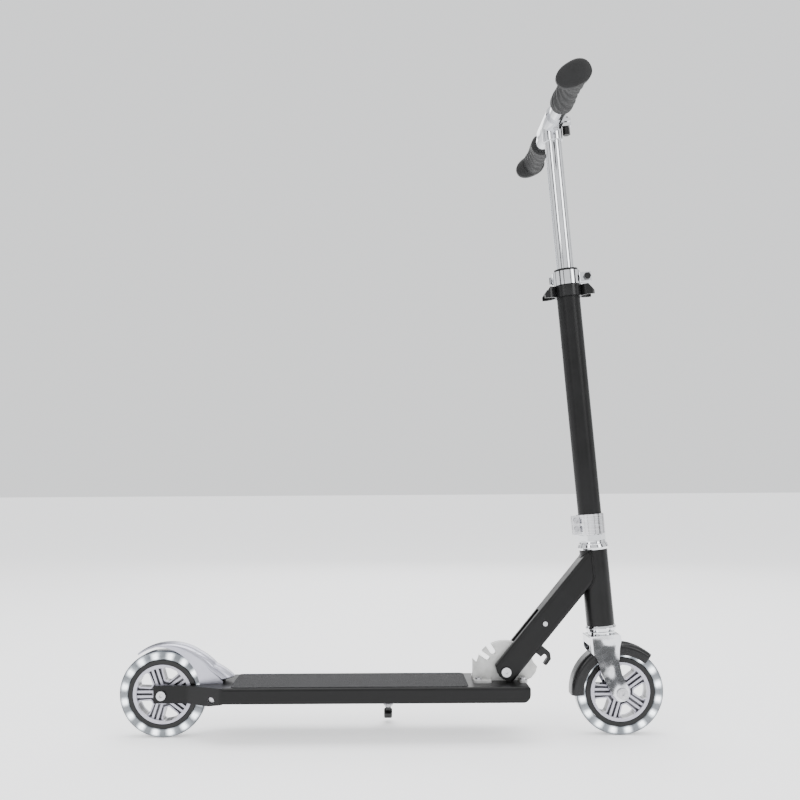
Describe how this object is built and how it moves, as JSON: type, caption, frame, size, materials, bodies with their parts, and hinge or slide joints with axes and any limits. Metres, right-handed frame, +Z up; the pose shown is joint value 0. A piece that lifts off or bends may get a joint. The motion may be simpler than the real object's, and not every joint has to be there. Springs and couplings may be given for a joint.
{
  "type": "kick scooter",
  "caption": "Folding kick scooter with a flat deck, lit clear wheels, heel brake fender, side stand and a telescopic steering column with a T handlebar.",
  "frame": {"origin": "on the floor, midway between the two axles and on the centre plane", "axes": "+X forward to the front wheel, +Y to the rider's left, +Z up"},
  "size_m": [0.75, 0.34, 0.8672],
  "materials": {
    "black_alloy": "satin black powder coat on aluminium",
    "black_paint": "satin black powder coat on steel",
    "grip_tape": "fine grit on a black film",
    "cast_aluminium": "bead blasted casting",
    "fender_aluminium": "pressed sheet, brushed",
    "zinc_steel": "bright zinc plate",
    "chrome": "mirror chrome",
    "polished_aluminium": "polished",
    "hub_silver": "silver paint on a moulded core",
    "carrier_black": "gloss black",
    "lamp": "lit white lamp under a clear lens",
    "clear_urethane": "clear cast urethane",
    "black_plastic": "moulded, fine spark texture",
    "black_steel": "black oxide",
    "foot_rubber": "moulded rubber",
    "grip_rubber": "soft rubber with raised ribs"
  },
  "bodies": {
    "deck_frame": {"deck": "black_alloy", "grip_tape": "grip_tape", "rear_fork": "black_alloy", "fold_block": "cast_aluminium", "fold_block_screws": "zinc_steel", "fold_bolt": "zinc_steel", "rear_axle": "zinc_steel", "rear_axle_spacers": "zinc_steel", "brake_pin": "zinc_steel", "brake_spring": "zinc_steel", "stand_bracket": "zinc_steel", "stand_pin": "zinc_steel", "stand_spring": "zinc_steel"},
    "brake": {"rear_fender": "fender_aluminium"},
    "stand": {"kickstand": "black_steel", "stand_foot": "foot_rubber"},
    "rear_wheel": {"rear_hub": "hub_silver", "rear_bearings": "zinc_steel", "rear_lamp_carrier": "carrier_black", "rear_lamps": "lamp", "rear_tyre": "clear_urethane"},
    "front_wheel": {"front_hub": "hub_silver", "front_bearings": "zinc_steel", "front_lamp_carrier": "carrier_black", "front_lamps": "lamp", "front_tyre": "clear_urethane"},
    "neck": {"down_tube": "black_paint", "fold_bushes": "black_plastic", "head_tube": "black_paint", "headset_cups": "chrome", "lock_pin": "zinc_steel", "lock_spring": "zinc_steel"},
    "lock": {"lock_slider": "black_steel"},
    "steering": {"fork": "chrome", "steerer": "chrome", "headset_cones": "chrome", "lock_washer": "chrome", "headset_nut": "chrome", "front_axle": "zinc_steel", "front_axle_spacers": "zinc_steel", "front_fender": "black_plastic", "fender_screw": "zinc_steel", "clamp_collar": "polished_aluminium", "collar_bolts": "zinc_steel", "column": "black_paint", "key_screw": "zinc_steel", "clip_collar": "black_plastic", "sleeve_bush": "black_plastic", "quick_clamp": "chrome", "quick_bolt": "black_steel"},
    "clamp_lever": {"quick_lever": "chrome"},
    "handlebar": {"upper_tube": "chrome", "t_sleeve": "chrome", "pinch_bolt": "black_steel", "bar_left": "chrome", "bar_right": "chrome", "grip_left": "grip_rubber", "grip_right": "grip_rubber"},
    "snap_left": {"button_left": "zinc_steel"},
    "snap_right": {"button_right": "zinc_steel"}
  },
  "joints": [
    {"name": "rear_wheel_spin", "type": "hinge", "parent": "deck_frame", "child": "rear_wheel", "pos_m": [-0.315, 0, 0.06], "axis": [0, 1, 0], "continuous": true},
    {"name": "front_wheel_spin", "type": "hinge", "parent": "steering", "child": "front_wheel", "pos_m": [0.315, 0, 0.06], "axis": [0, 1, 0], "continuous": true},
    {"name": "brake_press", "type": "hinge", "parent": "deck_frame", "child": "brake", "pos_m": [-0.243, 0, 0.0575], "axis": [0, -1, 0], "range_deg": [0, 2.6], "stiffness_Nm_per_rad": 3, "springref_deg": -8.59},
    {"name": "stand_swing", "type": "hinge", "parent": "deck_frame", "child": "stand", "pos_m": [-0.004, 0.03, 0.044], "axis": [0, 0.6157, 0.788], "range_deg": [0, 90]},
    {"name": "fold", "type": "hinge", "parent": "deck_frame", "child": "neck", "pos_m": [0.1575, 0, 0.0892], "axis": [0, -1, 0], "range_deg": [0, 85]},
    {"name": "lock_slide", "type": "slide", "parent": "neck", "child": "lock", "axis": [0.5, 0, 0.866], "range_m": [-0.006, 0], "stiffness_N_per_m": 300, "springref_m": -0.008, "deforming": ["lock_spring"]},
    {"name": "steer", "type": "hinge", "parent": "neck", "child": "steering", "pos_m": [0.29132, 0, 0.15096], "axis": [-0.0889, 0, 0.996], "continuous": true},
    {"name": "clamp_lever_swing", "type": "hinge", "parent": "steering", "child": "clamp_lever", "pos_m": [0.27528, 0.014, 0.63444], "axis": [0.0889, 0, -0.996], "range_deg": [0, 110]},
    {"name": "height", "type": "slide", "parent": "steering", "child": "handlebar", "axis": [-0.0889, 0, 0.996], "range_m": [-0.175, 0.07]},
    {"name": "snap_left_press", "type": "slide", "parent": "handlebar", "child": "snap_left", "axis": [-0.0889, 0, 0.996], "range_m": [0, 0.003], "stiffness_N_per_m": 200, "springref_m": -0.003},
    {"name": "snap_right_press", "type": "slide", "parent": "handlebar", "child": "snap_right", "axis": [-0.0889, 0, 0.996], "range_m": [0, 0.003], "stiffness_N_per_m": 200, "springref_m": -0.003}
  ]
}
